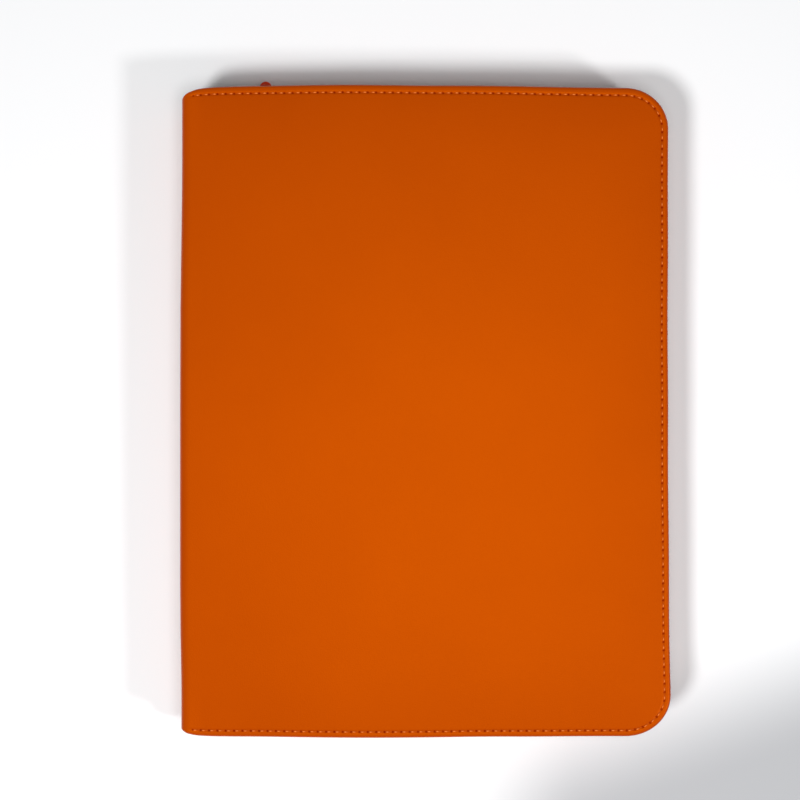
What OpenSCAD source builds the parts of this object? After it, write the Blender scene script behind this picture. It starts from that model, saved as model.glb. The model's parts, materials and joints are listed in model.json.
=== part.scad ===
// Zip-round trading card binder, closed and lying on its back cover.
// +X runs from the spine to the fore edge, +Y to the head, +Z up through the front cover.
// The origin is the centre of the back cover's outer face.

/* [Case] */
// Width of the closed case, from the spine's face to the fore edge
case_w = 262; // [256:1:280]
// Height of the case, from tail to head
case_h = 350; // [344:1:370]
// Thickness of the closed case
case_t = 36; // [34:1:42]
// Radius of the two corners at the fore edge
corner_r = 23; // [16:1:30]
// Radius that the skin takes round the spine's long edges
fold_r = 5; // [4.5:0.5:6]

/* [Cover layers] */
// Thickness of the leather-like skin
skin_t = 1; // [0.8:0.1:1.2]
// Thickness of the foam under the skin
foam_t = 2; // [1.6:0.1:2.2]
// Thickness of the stiff board in each cover
board_t = 1.8; // [1.4:0.1:2]
// Thickness of the stiff board in the spine
spine_board_t = 1.5; // [1.2:0.1:1.8]
// Thickness of the cloth lining
lining_t = 0.6; // [0.4:0.1:0.6]

/* [Zip] */
// Thickness of the woven tape
tape_t = 0.6; // [0.4:0.1:0.6]
// Width of the tape's flange that is sewn under the lining
flange_w = 4; // [3.5:0.5:6]
// Distance from the spine's face to the tape's end at the head
head_start = 34; // [32:1:38]
// Distance from the spine's face to the tape's end at the tail
tail_start = 19; // [18:1:26]
// Height of one half of the tooth chain
chain_w = 2.35; // [2:0.05:2.5]
// Thickness of the tooth chain
chain_t = 2; // [1.8:0.1:2.4]
// Space between the two chain halves, where the slider's wedge runs
chain_gap = 1.3; // [1.2:0.1:1.5]

/* [Slider and pull] */
// Distance from the spine's face to the slider's middle when the case is zipped shut
slider_at = 44.8; // [43:0.1:50]
// Length of the slider
slider_l = 10; // [9:0.5:11]
// Height that the slider's crown stands out of its face
crown_h = 4.65; // [4.2:0.05:5]
// Length of the pull tab from its pivot
pull_l = 24; // [18:1:30]

/* [Leaves] */
// Number of leaves
leaves = 20; // [10:2:20]
// Thickness of a leaf's dark core sheet
sheet_t = 0.3; // [0.2:0.05:0.3]
// Thickness of the clear film on each side
film_t = 0.1; // [0.06:0.01:0.1]
// Width of one pocket
pocket_w = 68; // [66:0.5:68]
// Height of one pocket
pocket_h = 95; // [91:0.5:96]
// Width of the welded bands between and around the pockets
weld_w = 4; // [3:0.5:4]

/* [Hidden] */
$fn = 64;
eps = 0.01;

// Panel build-up, from the outside in.
foam_z = skin_t;
board_z = foam_z + foam_t;
flange_z = board_z;
border_z = flange_z + tape_t;
rim_z = border_z + lining_t;
lining_z = board_z + board_t;
panel_t = lining_z + lining_t;

// The spine's layers, and the lines where the panels' layers end beside it.
spine_x = -case_w / 2;
spine_in_x = spine_x + skin_t + spine_board_t + lining_t;
spine_half_l = case_h / 2 - fold_r;
spine_end_t = 1;
foam_end_x = spine_x + fold_r + 2;
board_end_x = foam_end_x + 2;
lining_end_x = board_end_x - 1;
fold_gap = 0.3;
side_gap = 0.2;
cut_past = 1;

// Zip: the wall stands just inside the rim of the skin.
wall_in = skin_t;
board_in = wall_in + flange_w + side_gap;
mid_z = case_t / 2;
chain_lo_z = mid_z - chain_gap / 2 - chain_w;
chain_in = wall_in - (chain_t - tape_t) / 2;
stop_l = 2.5;
stop_extra = 0.15;
head_x = spine_x + head_start;
tail_x = spine_x + tail_start;

// Slider: a channel that hooks under the back chain and is open towards the front cover.
run = 0.25;
plate_t = 0.8;
lip_h = 0.8;
nose_bevel = 1.5;
tail_taper = 4;
taper_h = 0.9;
plate_half_h = mid_z - chain_lo_z + run + lip_h;
end_half_h = plate_half_h - taper_h;
slider_x = spine_x + slider_at;
wall_y = case_h / 2 - wall_in;
chain_out_y = case_h / 2 - chain_in;
chain_in_y = chain_out_y - chain_t;
plate_out_y = chain_out_y + run + plate_t;
wedge_l = 3;
wedge_in = 1;
wedge_t = chain_gap - 2 * run;

// Crown and pull tab.
crown_half = 3.3;
crown_w = 2.2;
crown_y = plate_out_y + crown_h - crown_half;
eye_r = 1.3;
pull_t = 1;
pull_gap = 0.2;
pivot_y = plate_out_y + pull_gap + pull_t / 2;
pull_half_w = 3.2;
dome_gap = 0.45;
pull_eye_l = plate_out_y + crown_h - pivot_y + dome_gap;
pull_eye_half_w = crown_w / 2 + 0.4;

// Leaves: the folds step outwards to the middle leaf, so each half lies flat when the case is open.
leaf_gap = 1;
fold_step = 0.7;
root_gap = 0.4;
leaf_pitch = (case_t - 2 * (panel_t + leaf_gap)) / (leaves - 1);
block_w = 3 * pocket_w + 4 * weld_w;
block_h = 3 * pocket_h + 4 * weld_w;
leaf_end_x = block_w / 2;
leaf_corner_r = 4;
mouth_w = 1;
bar_half_l = block_h / 2 - 2;

// Tab that covers the zip's sewn end at the tail.
tab_half_h = 4;
tab_foot_t = 1.2;
tab_foot_l = 16;

function leaf_fold_x(k) =
    spine_x + panel_t + leaf_gap + fold_step * min(k - 1, leaves - k);
function leaf_z(k) = panel_t + leaf_gap + leaf_pitch * (k - 1);
function two_digits(k) = str(k < 10 ? "0" : "", k);
function leaf_name(k, piece) = str("page_", two_digits(k), "_", piece);

// ---- Shared shapes ----

// A cover's outline, drawn in by inset at the head, fore edge and tail, and cut square at left_x.
module cover_outline(inset, left_x) {
    r = corner_r - inset;
    right_x = case_w / 2 - inset;
    half_h = case_h / 2 - inset;
    translate([left_x, -half_h])
        square([right_x - r - left_x, 2 * half_h]);
    translate([right_x - r - eps, -half_h + r])
        square([r + eps, 2 * (half_h - r)]);
    for (side = [-1, 1])
        translate([right_x - r, side * (half_h - r)])
            circle(r);
}

// The band between two insets, open at the spine.
module cover_band(inset, width, left_x) {
    difference() {
        cover_outline(inset, left_x);
        cover_outline(inset + width, left_x - cut_past);
    }
}

// The same piece on the front cover.
module on_front() {
    translate([0, 0, case_t])
        mirror([0, 0, 1])
            children();
}

// A profile drawn in X and Z, extruded along Y to both sides of the middle.
module along_spine(half_l) {
    rotate([90, 0, 0])
        linear_extrude(2 * half_l, center = true)
            children();
}

// Keeps what lies inside the case's outline in plan, whose two corners at the spine are rounded.
module round_spine_corners() {
    intersection() {
        children();
        linear_extrude(case_t) {
            translate([spine_x + fold_r, -case_h / 2])
                square([case_w - fold_r, case_h]);
            translate([spine_x, -spine_half_l])
                square([2 * fold_r, 2 * spine_half_l]);
            for (side = [-1, 1])
                translate([spine_x + fold_r, side * spine_half_l])
                    circle(fold_r);
        }
    }
}

// Half of the skin's bend at the back cover's fold; part 0 belongs to the cover, part 1 to the spine.
module bend_half(part) {
    reach = 2 * fold_r;
    translate([spine_x + fold_r, fold_r])
        intersection() {
            difference() {
                circle(fold_r);
                circle(fold_r - skin_t);
            }
            rotate(225)
                translate([0, part == 0 ? fold_gap / 2 : -reach - fold_gap / 2])
                    square(reach);
            translate([-reach, -reach])
                square(reach);
        }
}

// ---- Covers ----

// Skin: the outer face, the turned rim round three edges, and half of the bend at the fold.
module cover_skin() {
    left_x = spine_x + fold_r;
    color("chocolate") {
        linear_extrude(skin_t)
            cover_outline(0, left_x);
        linear_extrude(rim_z)
            cover_band(0, wall_in, left_x);
        round_spine_corners()
            along_spine(case_h / 2)
                bend_half(0);
    }
}

// Foam padding, inside the skin's rim.
module cover_foam() {
    color("wheat")
        translate([0, 0, foam_z])
            linear_extrude(foam_t)
                cover_outline(wall_in, foam_end_x);
}

// Stiff board, inside the sewn edge.
module cover_board() {
    color("tan")
        translate([0, 0, board_z])
            linear_extrude(board_t)
                cover_outline(board_in, board_end_x);
}

// Cloth lining: level over the board, and stepped down on to the sewn edge round it.
module cover_lining() {
    step_in = board_in - lining_t;
    edge_in = wall_in + tape_t;
    color("sienna") {
        translate([0, 0, lining_z])
            linear_extrude(lining_t)
                cover_outline(step_in, lining_end_x);
        translate([0, 0, border_z])
            linear_extrude(panel_t - border_z)
                cover_band(step_in, lining_t, board_end_x);
        translate([0, 0, border_z])
            linear_extrude(lining_t)
                cover_band(edge_in, board_in - edge_in, board_end_x);
    }
}

// Keeps what lies between the zip's two ends.
module zip_run(margin = 0) {
    difference() {
        children();
        translate([spine_x - cut_past, 0])
            square([head_x + margin - spine_x + cut_past, case_h]);
        translate([spine_x - cut_past, -case_h])
            square([tail_x + margin - spine_x + cut_past, case_h + eps]);
    }
}

// Zip tape: a sewn flange and the upright wall that carries the chain.
module zip_tape() {
    color("darkorange")
        translate([0, 0, flange_z]) {
            linear_extrude(tape_t)
                zip_run()
                    cover_band(wall_in, flange_w, spine_x);
            linear_extrude(chain_lo_z - flange_z)
                zip_run()
                    cover_band(wall_in, tape_t, spine_x);
        }
}

// One half of the tooth chain, with an end stop at each end of the run.
module zip_teeth() {
    color("saddlebrown")
        translate([0, 0, chain_lo_z]) {
            linear_extrude(chain_w)
                zip_run(stop_l)
                    cover_band(chain_in, chain_t, spine_x);
            for (stop = [[head_x, 1], [tail_x, -1]])
                translate([stop.x + stop_l / 2, stop.y * (chain_in_y + chain_t / 2), chain_w / 2])
                    cube([stop_l, chain_t + 2 * stop_extra, chain_w], center = true);
        }
}

// ---- Spine ----

module spine_skin() {
    color("chocolate") {
        round_spine_corners()
            along_spine(case_h / 2) {
                bend_half(1);
                translate([0, case_t])
                    mirror([0, 1])
                        bend_half(1);
                translate([spine_x, fold_r])
                    square([skin_t, case_t - 2 * fold_r]);
            }
        for (side = [-1, 1])
            translate([spine_x + skin_t, side * (spine_half_l - spine_end_t / 2), mid_z])
                translate([spine_board_t / 2 - eps, 0, 0])
                    cube([spine_board_t, spine_end_t, case_t - 2 * fold_r], center = true);
    }
}

// A flat layer of the spine at a depth from its face.
module spine_layer(depth, thick, half_l) {
    side_in = fold_r + side_gap;
    translate([spine_x + depth, -half_l, side_in])
        cube([thick, 2 * half_l, case_t - 2 * side_in]);
}

module spine_board() {
    color("tan")
        spine_layer(skin_t, spine_board_t, spine_half_l - spine_end_t);
}

module spine_lining() {
    color("sienna")
        spine_layer(skin_t + spine_board_t, lining_t, spine_half_l - side_gap);
}

// The bar that clamps the leaves' margins: stepped, so that it reaches to each leaf's fold.
module page_binding_bar() {
    color("dimgray")
        along_spine(bar_half_l)
            for (k = [1 : leaves / 2])
                translate([spine_in_x, leaf_z(k) - leaf_pitch / 2])
                    square([
                        leaf_fold_x(k) - root_gap - spine_in_x,
                        case_t - 2 * leaf_z(k) + leaf_pitch
                    ]);
}

// Folded tab over the zip's sewn end at the tail, with a foot that is glued to the spine's lining.
module zip_tail_tab() {
    tab_l = tail_x - run - spine_in_x;
    color("chocolate")
        translate([spine_in_x, -chain_out_y, mid_z - tab_half_h]) {
            cube([tab_l, chain_t, 2 * tab_half_h]);
            cube([tab_foot_t, tab_foot_l, 2 * tab_half_h]);
        }
}

// ---- Slider and pull ----

// A face of the slider: wide at the nose, towards the spine, and narrow behind.
module slider_plate(y) {
    half_l = slider_l / 2;
    wide_from = -half_l + nose_bevel;
    wide_to = half_l - tail_taper;
    translate([slider_x, y + plate_t, mid_z])
        rotate([90, 0, 0])
            linear_extrude(plate_t)
                polygon([
                    [-half_l, -end_half_h], [wide_from, -plate_half_h],
                    [wide_to, -plate_half_h], [half_l, -end_half_h],
                    [half_l, end_half_h], [wide_to, plate_half_h],
                    [wide_from, plate_half_h], [-half_l, end_half_h]
                ]);
}

// Two faces, a wedge between the chains that joins them, and a lip on each face under the back chain.
module slider_body() {
    inner_y = chain_in_y - run - plate_t;
    lip_depth = (chain_t - tape_t) / 2;
    nose_x = slider_x - slider_l / 2;
    color("orangered") {
        slider_plate(chain_out_y + run);
        slider_plate(inner_y);
        translate([nose_x + wedge_in, inner_y + plate_t / 2, mid_z - wedge_t / 2])
            cube([wedge_l, chain_t + 2 * run + plate_t, wedge_t]);
        for (y = [inner_y + plate_t - eps, chain_out_y + run - lip_depth + eps])
            translate([nose_x + nose_bevel, y, mid_z - plate_half_h])
                cube([slider_l - nose_bevel - tail_taper, lip_depth, lip_h]);
    }
}

// The crown: a dome on the slider's outer face, with an eye that holds the pull tab's bar.
module slider_crown() {
    color("orangered")
        translate([slider_x, 0, mid_z - crown_w / 2])
            linear_extrude(crown_w)
                difference() {
                    union() {
                        translate([0, crown_y])
                            circle(crown_half);
                        translate([-crown_half, plate_out_y])
                            square([2 * crown_half, crown_y - plate_out_y]);
                    }
                    translate([0, pivot_y])
                        circle(eye_r);
                    translate([-eye_r, plate_out_y - cut_past])
                        square([2 * eye_r, pivot_y - plate_out_y + cut_past]);
                    translate([-case_w, plate_out_y - case_h])
                        square([2 * case_w, case_h]);
                }
}

// The pull tab: a bar through the crown, two arms past it, and the grip.
module pull_tab() {
    color("orangered")
        translate([slider_x, pivot_y, mid_z]) {
            cylinder(h = 2 * pull_half_w, r = pull_t / 2, center = true);
            rotate([90, 0, 0])
                linear_extrude(pull_t, center = true)
                    difference() {
                        union() {
                            translate([-pull_l + pull_half_w, -pull_half_w])
                                square([pull_l - pull_half_w, 2 * pull_half_w]);
                            translate([-pull_l + pull_half_w, 0])
                                circle(pull_half_w);
                        }
                        translate([-pull_eye_l, -pull_eye_half_w])
                            square([2 * pull_eye_l, 2 * pull_eye_half_w]);
                    }
        }
}

// ---- Leaves ----

// A leaf's dark core sheet, from its fold to the fore edge.
module page_sheet(k) {
    start_x = leaf_fold_x(k) + root_gap;
    color("black")
        translate([0, 0, leaf_z(k) - sheet_t / 2])
            linear_extrude(sheet_t) {
                translate([start_x, -block_h / 2])
                    square([leaf_end_x - leaf_corner_r - start_x, block_h]);
                translate([leaf_end_x - leaf_corner_r - eps, -block_h / 2 + leaf_corner_r])
                    square([leaf_corner_r + eps, block_h - 2 * leaf_corner_r]);
                for (side = [-1, 1])
                    translate([leaf_end_x - leaf_corner_r, side * (block_h / 2 - leaf_corner_r)])
                        circle(leaf_corner_r);
            }
}

// The clear films of a leaf: one strip for each column of pockets on both sides, open along one edge.
module page_pockets(k) {
    strip_w = pocket_w + weld_w - mouth_w;
    color("lightgray", 0.5)
        for (side = [0, 1], column = [0 : 2])
            translate([
                -block_w / 2 + weld_w / 2 + column * (pocket_w + weld_w),
                -block_h / 2 + leaf_corner_r,
                leaf_z(k) + (side == 0 ? sheet_t / 2 : -sheet_t / 2 - film_t)
            ])
                cube([strip_w, block_h - 2 * leaf_corner_r, film_t]);
}

// ---- The pieces that both covers have ----

module back_skin() { cover_skin(); }
module back_foam() { cover_foam(); }
module back_board() { cover_board(); }
module back_lining() { cover_lining(); }
module back_zip_tape() { zip_tape(); }
module back_zip_teeth() { zip_teeth(); }
module front_skin() { on_front() cover_skin(); }
module front_foam() { on_front() cover_foam(); }
module front_board() { on_front() cover_board(); }
module front_lining() { on_front() cover_lining(); }
module front_zip_tape() { on_front() zip_tape(); }
module front_zip_teeth() { on_front() zip_teeth(); }

// ---- Nodes ----

back_skin();
back_foam();
back_board();
back_lining();
back_zip_tape();
back_zip_teeth();
spine_skin();
spine_board();
spine_lining();
page_binding_bar();
zip_tail_tab();
front_skin();
front_foam();
front_board();
front_lining();
front_zip_tape();
front_zip_teeth();
slider_body();
slider_crown();
pull_tab();
for (k = [1 : leaves]) {
    page_sheet(k);
    page_pockets(k);
}
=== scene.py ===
"""The looks of a zip-round trading card binder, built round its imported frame.

Lengths are in millimetres up to the point where a mesh is made; lights and camera are in metres.
A cover is drawn unrolled: its outline is a U that runs along the tail, round the fore edge and back
along the head. A point of it is given by its place along the U, its inset from the outline, and its
depth under the outer face. Left of the fold the unrolled cover goes round the spine's long edge and
on to the spine's middle, where the two halves meet. Each piece of a cover is drawn for the back
cover, and mirrored for the front one.
"""
import json
import math

import bmesh
import bpy
import numpy as np
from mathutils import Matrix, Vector


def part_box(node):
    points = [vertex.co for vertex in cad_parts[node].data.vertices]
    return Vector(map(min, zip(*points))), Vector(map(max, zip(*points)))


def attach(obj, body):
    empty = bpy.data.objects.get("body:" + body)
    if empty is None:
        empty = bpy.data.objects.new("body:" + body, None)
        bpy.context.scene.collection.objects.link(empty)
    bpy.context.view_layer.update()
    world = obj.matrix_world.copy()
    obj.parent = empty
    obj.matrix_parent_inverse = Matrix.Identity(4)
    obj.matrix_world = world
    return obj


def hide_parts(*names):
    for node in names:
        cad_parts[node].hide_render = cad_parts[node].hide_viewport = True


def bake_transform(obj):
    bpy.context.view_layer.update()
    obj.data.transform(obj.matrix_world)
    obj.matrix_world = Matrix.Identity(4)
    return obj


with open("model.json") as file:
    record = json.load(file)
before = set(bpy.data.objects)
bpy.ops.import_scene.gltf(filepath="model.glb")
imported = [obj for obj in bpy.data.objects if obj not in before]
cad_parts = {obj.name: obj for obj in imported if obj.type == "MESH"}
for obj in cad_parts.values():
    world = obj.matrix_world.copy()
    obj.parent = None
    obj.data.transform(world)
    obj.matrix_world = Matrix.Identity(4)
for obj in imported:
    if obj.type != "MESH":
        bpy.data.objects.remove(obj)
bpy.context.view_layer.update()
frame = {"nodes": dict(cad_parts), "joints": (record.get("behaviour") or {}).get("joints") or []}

MM = 0.001


def side(node, end, axis):
    """Where a CAD node begins (end 0) or ends (end 1) along an axis, in millimetres."""
    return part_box(node)[end][axis] / MM


def hinge(name):
    """The place of a hinge, in millimetres."""
    found = next(j for j in frame["joints"] if j["name"] == name)
    return [v / MM for v in found["pos_m"]]


# ---- Sizes ----

SPINE_X = side("spine_skin", 0, 0)
FORE_X = side("back_skin", 1, 0)
HALF_H = side("back_skin", 1, 1)
CASE_T = side("front_skin", 1, 2)
RIM_Z = side("back_skin", 1, 2)
FOAM_Z = side("back_foam", 0, 2)
FOAM_TOP_Z = side("back_foam", 1, 2)
LINING_TOP_Z = side("back_lining", 1, 2)
LINING_T = LINING_TOP_Z - side("back_board", 1, 2)
BOARD_END_X = side("back_board", 0, 0)
BOARD_IN = HALF_H - side("back_board", 1, 1)
TAPE_Z = side("back_zip_tape", 0, 2)
TAPE_IN = HALF_H - side("back_zip_tape", 1, 1)
CHAIN_Z = side("back_zip_teeth", 0, 2)
SPINE_LINING_X = side("spine_lining", 1, 0)
LEAVES = sum(1 for n in frame["nodes"] if n.endswith("_sheet"))

MID_Z = CASE_T / 2
CORNER_R = 23.0
FOLD_R = 5.0
SKIN_T = 1.0
TAPE_T = 0.6
CORNER_X = FORE_X - CORNER_R
CORNER_Y = HALF_H - CORNER_R

# The unrolled cover: where its fold begins, where the spine begins, and the spine's middle.
FOLD_X = SPINE_X + FOLD_R
BEND_X = FOLD_X - FOLD_R * math.pi / 2
SEAM_X = BEND_X - (MID_Z - FOLD_R)

# Columns of points stay straight left of STRAIGHT_X. The innermost row of a face lies at MIDDLE_IN,
# and its fore edge end bulges by MIDDLE_BULGE.
STRAIGHT_X = BOARD_END_X + 1.0
MIDDLE_IN = CORNER_Y + CORNER_R - 2
MIDDLE_BULGE = 25.0

# How far the edge is drawn in at the spine's ends, as pairs of depth and reach.
HEAD_DIPS = ((5.8, 4.0), (1.5, 17.0))
TAIL_DIPS = ((3.9, 4.5),)

# Below 1, the fold is squarer than a quarter circle.
FOLD_SQUARE = 0.7

# The padded face: the radius of its rolled edge, and the height and reach of its crown.
ROLL_R = 1.6
CROWN_H = 0.8
CROWN_REACH = 36.0

# The zip: where its two stops begin, measured from the spine, their length and half width, their gap
# to the coil's first turn, and the coil's pitch.
HEAD_START = 34.0
TAIL_START = 19.0
STOP_L = 2.5
STOP_HALF = 1.1
STOP_GAP = 0.6
COIL_PITCH = 1.5

# Sewing: one row of stitches along the tail, the fore edge and, HEAD_MARGIN further in, the head.
STITCH_IN = 3.4
HEAD_MARGIN = 0.8
STITCH_X = SPINE_X + 6.5
STITCH_RUN = CORNER_X - STITCH_X
STITCH_ARC = (CORNER_R - STITCH_IN) * math.pi / 2
STITCH_LENGTH = 2 * STITCH_RUN + 2 * STITCH_ARC + 2 * CORNER_Y
STITCHES = round(STITCH_LENGTH / 4.5)
PITCH = STITCH_LENGTH / STITCHES
HOLE_R = 0.44

# One stitch: its length and its crest's place in pitches, the thread's radius, and how far it rises.
STITCH_SHARE = 0.86
STITCH_CREST = 0.17
THREAD_R = 0.27
STITCH_RISE = 0.2


# ---- Small tools ----


def ease(x, a, b):
    """0 at a, 1 at b, and smooth between them."""
    t = np.clip((x - a) / (b - a), 0, 1)
    return t * t * (3 - 2 * t)


def mirrored(points):
    """The same points on the front cover."""
    out = np.array(points, float)
    out[..., 2] = CASE_T - out[..., 2]
    return out


def grid_faces(rows, cols, close_rows=False, close_cols=False):
    """The quads of a grid of points, row by row."""
    r, c = np.meshgrid(
        np.arange(rows if close_rows else rows - 1),
        np.arange(cols if close_cols else cols - 1),
        indexing="ij",
    )
    r2, c2 = (r + 1) % rows, (c + 1) % cols
    quads = np.stack([r * cols + c, r * cols + c2, r2 * cols + c2, r2 * cols + c], -1)
    return quads.reshape(-1, 4)


def make(name, points, quads, caps=(), uv=None, marks=None, mat=None):
    """A mesh object from points in millimetres, smooth quads, flat caps, and values for each point."""
    mesh = bpy.data.meshes.new(name)
    points = np.asarray(points, float).reshape(-1, 3)
    mesh.from_pydata((points * MM).tolist(), [], quads.tolist() + [list(c) for c in caps])
    flags = np.ones(len(mesh.polygons), bool)
    flags[len(quads):] = False
    mesh.polygons.foreach_set("use_smooth", flags)
    for key, values in (marks or {}).items():
        layer = mesh.attributes.new(key, "FLOAT", "POINT")
        layer.data.foreach_set("value", np.asarray(values, np.float32).ravel())
    work = bmesh.new()
    work.from_mesh(mesh)
    bmesh.ops.recalc_face_normals(work, faces=work.faces)
    work.to_mesh(mesh)
    work.free()
    if uv is not None:
        corner = np.zeros(len(mesh.loops), np.int32)
        mesh.loops.foreach_get("vertex_index", corner)
        flat_uv = np.asarray(uv, np.float32).reshape(-1, 2)[corner] * MM
        mesh.uv_layers.new(name="UVMap").data.foreach_set("uv", flat_uv.ravel())
    mesh.update()
    obj = bpy.data.objects.new(name, mesh)
    bpy.context.scene.collection.objects.link(obj)
    if mat is not None:
        mesh.materials.append(mat)
    return obj


def swept(name, grid, uv=None, mat=None, ring=False):
    """A solid swept along the grid's columns: each column is a closed loop; ring joins the two ends."""
    rows, cols = grid.shape[:2]
    quads = grid_faces(rows, cols, close_rows=True, close_cols=ring)
    caps = []
    if not ring:
        caps = [np.arange(rows) * cols, (np.arange(rows) * cols + cols - 1)[::-1]]
    return make(name, grid, quads, caps, uv, None, mat)


def folded_cover(name, rows, uv=None, marks=None, mat=None):
    """A closed shell from U-shaped rows: from the middle of one face, over the edge, to the other's."""
    grid = np.stack(rows)
    count, cols = grid.shape[:2]
    quads = grid_faces(count, cols)
    half = cols // 2
    j = np.arange(half - 1 if cols % 2 == 0 else half)
    strips = []
    for first in (0, (count - 1) * cols):
        near, far = first + j, first + cols - 1 - j
        strips.append(np.stack([near, near + 1, far - 1, far], -1)[: half - 1])
    cap = np.concatenate([np.arange(count) * cols, (np.arange(count) * cols + cols - 1)[::-1]])
    every = np.concatenate([quads] + strips)
    caps = [cap]
    if cols % 2:
        for first in (0, (count - 1) * cols):
            caps.append([first + half - 1, first + half, first + half + 1])
    return make(name, grid, every, caps, uv, marks, mat)


def repeated(name, shape, faces, frames, mat=None, marks=None):
    """One mesh with a copy of a small shape at each frame (place, and three directions)."""
    place, along, out, up = (np.asarray(f, float)[:, None, :] for f in frames)
    points = place + shape[None, :, 0:1] * along + shape[None, :, 1:2] * out + shape[None, :, 2:3] * up
    count = len(shape)
    shift = np.arange(points.shape[0])[:, None, None] * count
    quads = (faces[None] + shift).reshape(-1, 4)
    every = {k: np.tile(v, points.shape[0]) for k, v in (marks or {}).items()}
    return make(name, points, quads, (), None, every, mat)


def tube(path, radius, sides):
    """Points and quads of a tube along a path, drawn to a point at both ends."""
    path = np.asarray(path, float)
    ahead = np.gradient(path, axis=0)
    ahead /= np.linalg.norm(ahead, axis=1)[:, None]
    guide = np.array([0.0, 0.0, 1.0]) if abs(ahead[:, 2]).max() < 0.9 else np.array([1.0, 0.0, 0.0])
    across = np.cross(ahead, guide)
    across /= np.linalg.norm(across, axis=1)[:, None]
    above = np.cross(across, ahead)
    angle = np.arange(sides) * 2 * math.pi / sides
    r = np.broadcast_to(np.asarray(radius, float), len(path))[:, None, None]
    rings = path[:, None] + r * (
        np.cos(angle)[None, :, None] * across[:, None] + np.sin(angle)[None, :, None] * above[:, None]
    )
    return rings.reshape(-1, 3), grid_faces(len(path), sides, close_cols=True)


# ---- The unrolled cover ----


def stations(tail_x, head_x, places=None, step=1.5):
    """Places along the U. Each has an outward normal, and a centre CORNER_R inside the outline."""
    low, high = tail_x - STITCH_X, STITCH_LENGTH + STITCH_X - head_x
    if places is None:
        places = np.linspace(low, high, 2 * round((high - low) / step / 2))
    s = np.asarray(places, float)
    a = STITCH_RUN
    b = a + STITCH_ARC
    c = b + 2 * CORNER_Y
    d = c + STITCH_ARC
    turn = np.clip((s - a) / STITCH_ARC, 0, 1) + np.clip((s - c) / STITCH_ARC, 0, 1)
    angle = (turn - 1) * math.pi / 2
    cx = np.where(s < a, STITCH_X + s, np.where(s > d, CORNER_X - (s - d), CORNER_X))
    cy = np.clip(s - b, 0, 2 * CORNER_Y) - CORNER_Y
    return {"s": s, "cx": cx, "cy": cy, "nx": np.cos(angle), "ny": np.sin(angle)}


def spine_distance(x):
    """How far an unrolled place lies from the spine's face, seen from above."""
    bend = np.clip((FOLD_X - x) / FOLD_R, 0, math.pi / 2)
    return np.where(x > FOLD_X, x - SPINE_X, FOLD_R * (1 - np.sin(bend)))


def dip(distance, parts):
    """How far the edge is drawn in at a distance from the spine: a sum of (depth, reach) decays."""
    return sum(depth * np.exp(-distance / reach) for depth, reach in parts)


def edge_bow(st):
    """How far the soft cover's edges stand out from straight lines.

    The fore edge bulges more towards the tail, the head is an arch, and the tail has a low hump.
    """
    fore = 0.38 + 1.3 * (np.maximum(0, 7 - st["cy"]) / 150) ** 2
    head = 1.05 - 1.5 * ((st["cx"] + 28) / 128) ** 2
    tail = 0.8 * np.exp(-(((st["cx"] + 30) / 55) ** 4)) - 0.5
    return fore * st["nx"] ** 2 + np.where(st["ny"] > 0, head, tail) * st["ny"] ** 2


def spine_bow(y):
    """How far the soft spine stands out from a straight line: less near its ends."""
    return 0.38 - 1.1 * ease(y, 30, 140) - 0.7 * ease(-y, 100, 155)


def flat(st, inset, bowed=False):
    """The unrolled X and Y of the stations at an inset. The edge dips in beside the spine.

    Bowed rows follow the soft cover's own outline and its wider sewing margin along the head.
    """
    tight = 1.0
    r = max(CORNER_R - inset, tight)
    past = max(inset - (CORNER_R - tight), 0)
    beyond = np.maximum(st["cx"] - STRAIGHT_X, 0)
    cx = st["cx"] - beyond * past / (CORNER_X - STRAIGHT_X)
    cy = st["cy"] * (1 - past / CORNER_Y)
    fade = max(0.0, 1 - max(inset, 0) / 40) ** 2
    wave = 0.10 * np.sin(st["s"] / 13 + 0.6) + 0.09 * np.sin(st["s"] / 31 + 2.0)
    wave = wave * fade * ease(st["s"], 0, 30) * ease(STITCH_LENGTH - st["s"], 0, 30)
    wave = wave - 0.12 * fade
    if bowed:
        margin = HEAD_MARGIN * ease(inset, 0.8, 3.0) * (1 - ease(inset, 4.5, 12))
        wave = wave + edge_bow(st) * math.exp(-max(inset, 0) / 60)
        wave = wave - margin * np.maximum(st["ny"], 0) ** 2
    arc = np.sqrt(np.maximum(0, 1 - (st["cy"] / CORNER_Y) ** 2))
    round_end = MIDDLE_BULGE * (past / CORNER_Y) ** 2 * arc
    x = cx + st["nx"] * (r + wave + round_end)
    distance = spine_distance(cx)
    drawn_in = np.where(st["ny"] > 0, dip(distance, HEAD_DIPS), dip(distance, TAIL_DIPS))
    y = cy + st["ny"] * (r + wave - drawn_in * math.exp(-max(inset, 0) / 5))
    return x, y


def wrap(x, y, depth):
    """From the unrolled back cover to its place: level, round the fold, and up the spine."""
    depth = np.broadcast_to(depth, x.shape)
    bend = np.clip((FOLD_X - x) / FOLD_R, 0, math.pi / 2)
    r = FOLD_R - depth
    across = FOLD_X - r * np.sin(bend) ** FOLD_SQUARE
    down = FOLD_R - r * np.maximum(np.cos(bend), 0) ** FOLD_SQUARE
    px = np.where(x >= FOLD_X, x, np.where(x <= BEND_X, SPINE_X + depth, across))
    pz = np.where(x >= FOLD_X, depth, np.where(x <= BEND_X, FOLD_R + BEND_X - x, down))
    px = px - spine_bow(y) * (1 - ease(x, FOLD_X - 2, FOLD_X + 8))
    return np.stack([px, y, pz], -1)


def hole_mark(st, inset):
    """1 in the middle of a needle hole, falling to 0 round it."""
    s = st["s"]
    inside = (s > -0.5) & (s < STITCH_LENGTH + 0.5)
    off = s - PITCH * np.round(s / PITCH)
    return np.where(inside, np.exp(-(off**2 + (inset - STITCH_IN) ** 2) / (2 * HOLE_R**2)), 0.0)


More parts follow.
